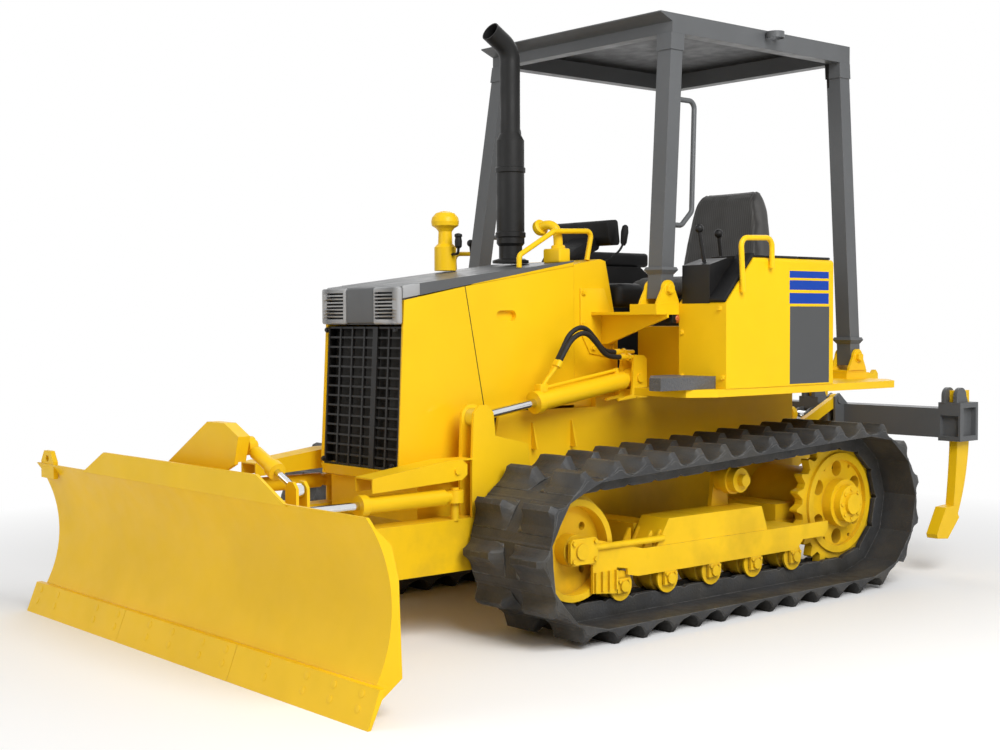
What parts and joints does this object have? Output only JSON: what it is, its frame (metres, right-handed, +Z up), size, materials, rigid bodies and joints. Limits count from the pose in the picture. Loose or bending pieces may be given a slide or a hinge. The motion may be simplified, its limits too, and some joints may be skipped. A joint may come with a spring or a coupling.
{
  "type": "crawler bulldozer",
  "caption": "Small crawler bulldozer with an angling and tilting blade on a C-shaped push frame, open four-post canopy, and rear ripper on parallel links",
  "frame": {"origin": "on the ground, midway between the blade's cutting edge and the back of the ripper, on the machine's middle plane", "axes": "+X to the machine's left, +Y to its rear (it drives towards -Y), +Z up"},
  "size_m": [2.458, 3.867, 2.491],
  "materials": {
    "yellow_paint": "gloss",
    "dark_grey_paint": "satin",
    "grey_paint": "satin",
    "black_paint": "satin",
    "track_steel": "worn",
    "steel_rod": "polished",
    "cast_iron": "rough",
    "black_plastic": "matte",
    "seat_vinyl": "matte"
  },
  "bodies": {
    "tractor": {"main_frame": "yellow_paint", "engine_block": "cast_iron", "radiator_guard": "yellow_paint", "radiator_grille": "black_paint", "lamp_panel": "grey_paint", "hood_top": "dark_grey_paint", "side_cover_left": "yellow_paint", "side_cover_right": "yellow_paint", "cowl": "yellow_paint", "exhaust_stack": "black_paint", "precleaner": "yellow_paint", "deck": "yellow_paint", "steps": "dark_grey_paint", "handrails": "yellow_paint", "post_rails": "dark_grey_paint", "side_box_left": "yellow_paint", "side_box_right": "yellow_paint", "seat": "seat_vinyl", "consoles": "black_paint", "dash": "black_plastic", "canopy_roof": "dark_grey_paint", "canopy_posts": "dark_grey_paint", "post_mounts": "yellow_paint", "track_frame_left": "yellow_paint", "track_frame_right": "yellow_paint", "track_left": "track_steel", "track_right": "track_steel", "sprockets": "yellow_paint", "idlers": "yellow_paint", "rollers": "yellow_paint", "carrier_rollers": "yellow_paint"},
    "push_frame": {"c_frame": "yellow_paint"},
    "yoke": {"yoke": "yellow_paint"},
    "blade": {"blade": "yellow_paint", "cutting_edge": "yellow_paint"},
    "lift_barrel_left": {"lift_barrel_left": "yellow_paint"},
    "lift_barrel_right": {"lift_barrel_right": "yellow_paint"},
    "lift_rod_left": {"lift_rod_left": "steel_rod"},
    "lift_rod_right": {"lift_rod_right": "steel_rod"},
    "angle_barrel_left": {"angle_barrel_left": "yellow_paint"},
    "angle_barrel_right": {"angle_barrel_right": "yellow_paint"},
    "angle_rod_left": {"angle_rod_left": "steel_rod"},
    "angle_rod_right": {"angle_rod_right": "steel_rod"},
    "tilt_barrel": {"tilt_barrel": "yellow_paint"},
    "tilt_rod": {"tilt_rod": "steel_rod"},
    "ripper_lower_links": {"ripper_lower_links": "yellow_paint"},
    "ripper_upper_links": {"ripper_upper_links": "yellow_paint"},
    "ripper": {"ripper_toolbar": "dark_grey_paint", "ripper_shanks": "yellow_paint"},
    "ripper_barrel": {"ripper_barrel": "yellow_paint"},
    "ripper_rod": {"ripper_rod": "steel_rod"}
  },
  "joints": [
    {"name": "blade_lift", "type": "hinge", "parent": "tractor", "child": "push_frame", "pos_m": [0, -0.286, 0.35], "axis": [-1, 0, 0], "range_deg": [-8, 22]},
    {"name": "lift_barrel_swing_left", "type": "hinge", "parent": "tractor", "child": "lift_barrel_left", "pos_m": [0.386, 0.068, 0.972], "axis": [-1, 0, 0], "range_deg": [-4.05, 11.13]},
    {"name": "lift_rod_slide_left", "type": "slide", "parent": "lift_barrel_left", "child": "lift_rod_left", "axis": [0, -0.989, -0.148], "range_m": [-0.2298, 0.0836]},
    {"name": "lift_barrel_swing_right", "type": "hinge", "parent": "tractor", "child": "lift_barrel_right", "pos_m": [-0.386, 0.068, 0.972], "axis": [-1, 0, 0], "range_deg": [-4.05, 11.13]},
    {"name": "lift_rod_slide_right", "type": "slide", "parent": "lift_barrel_right", "child": "lift_rod_right", "axis": [0, -0.989, -0.148], "range_m": [-0.2298, 0.0836]},
    {"name": "blade_angle", "type": "hinge", "parent": "push_frame", "child": "yoke", "pos_m": [0, -1.636, 0.4], "axis": [0, 0, 1], "range_deg": [-25, 25]},
    {"name": "angle_barrel_swing_left", "type": "hinge", "parent": "push_frame", "child": "angle_barrel_left", "pos_m": [0.42, -0.941, 0.55], "axis": [0, 0, 1], "range_deg": [-1.98, 1.98]},
    {"name": "angle_rod_slide_left", "type": "slide", "parent": "angle_barrel_left", "child": "angle_rod_left", "axis": [0, -1, 0], "range_m": [-0.1825, 0.1825]},
    {"name": "angle_barrel_swing_right", "type": "hinge", "parent": "push_frame", "child": "angle_barrel_right", "pos_m": [-0.42, -0.941, 0.55], "axis": [0, 0, 1], "range_deg": [-1.98, 1.98]},
    {"name": "angle_rod_slide_right", "type": "slide", "parent": "angle_barrel_right", "child": "angle_rod_right", "axis": [0, -1, 0], "range_m": [-0.1825, 0.1825]},
    {"name": "blade_tilt", "type": "hinge", "parent": "yoke", "child": "blade", "pos_m": [0, -1.712, 0.4], "axis": [0, 1, 0], "range_deg": [-8, 8]},
    {"name": "tilt_barrel_swing", "type": "hinge", "parent": "blade", "child": "tilt_barrel", "pos_m": [0.205, -1.712, 0.775], "axis": [0, 1, 0], "range_deg": [-9.28, 9.28]},
    {"name": "tilt_rod_slide", "type": "slide", "parent": "tilt_barrel", "child": "tilt_rod", "axis": [0.9191, 0, -0.3939], "range_m": [-0.0603, 0.0603]},
    {"name": "ripper_lift", "type": "hinge", "parent": "tractor", "child": "ripper_lower_links", "pos_m": [0, 1.33, 0.48], "axis": [1, 0, 0], "range_deg": [-35, 12]},
    {"name": "ripper_upper_swing", "type": "hinge", "parent": "tractor", "child": "ripper_upper_links", "pos_m": [0, 1.33, 0.63], "axis": [1, 0, 0], "range_deg": [-35.7, 12.24]},
    {"name": "ripper_level", "type": "hinge", "parent": "ripper_lower_links", "child": "ripper", "pos_m": [0, 1.74, 0.655], "axis": [1, 0, 0], "range_deg": [-12.24, 35.7]},
    {"name": "ripper_barrel_swing", "type": "hinge", "parent": "tractor", "child": "ripper_barrel", "pos_m": [0, 1.32, 0.77], "axis": [1, 0, 0], "range_deg": [-30.43, 10.43]},
    {"name": "ripper_rod_slide", "type": "slide", "parent": "ripper_barrel", "child": "ripper_rod", "axis": [0, 0.9903, -0.1387], "range_m": [-0.0463, 0.135]}
  ],
  "couplings": [
    {"joint": "lift_barrel_swing_left", "follows": "blade_lift", "ratio": 0.49608},
    {"joint": "lift_rod_slide_left", "follows": "blade_lift", "m_per_rad": -0.58687},
    {"joint": "lift_barrel_swing_right", "follows": "blade_lift", "ratio": 0.49608},
    {"joint": "lift_rod_slide_right", "follows": "blade_lift", "m_per_rad": -0.58687},
    {"joint": "angle_barrel_swing_left", "follows": "blade_angle", "ratio": 0.077776},
    {"joint": "angle_rod_slide_left", "follows": "blade_angle", "m_per_rad": -0.41001},
    {"joint": "angle_barrel_swing_right", "follows": "blade_angle", "ratio": 0.077776},
    {"joint": "angle_rod_slide_right", "follows": "blade_angle", "m_per_rad": 0.41001},
    {"joint": "tilt_barrel_swing", "follows": "blade_tilt", "ratio": -1.1372},
    {"joint": "tilt_rod_slide", "follows": "blade_tilt", "m_per_rad": -0.42346},
    {"joint": "ripper_upper_swing", "follows": "ripper_lift", "ratio": 1},
    {"joint": "ripper_level", "follows": "ripper_lift", "ratio": -1},
    {"joint": "ripper_barrel_swing", "follows": "ripper_lift", "ratio": 0.85226},
    {"joint": "ripper_rod_slide", "follows": "ripper_lift", "m_per_rad": -0.21661}
  ]
}
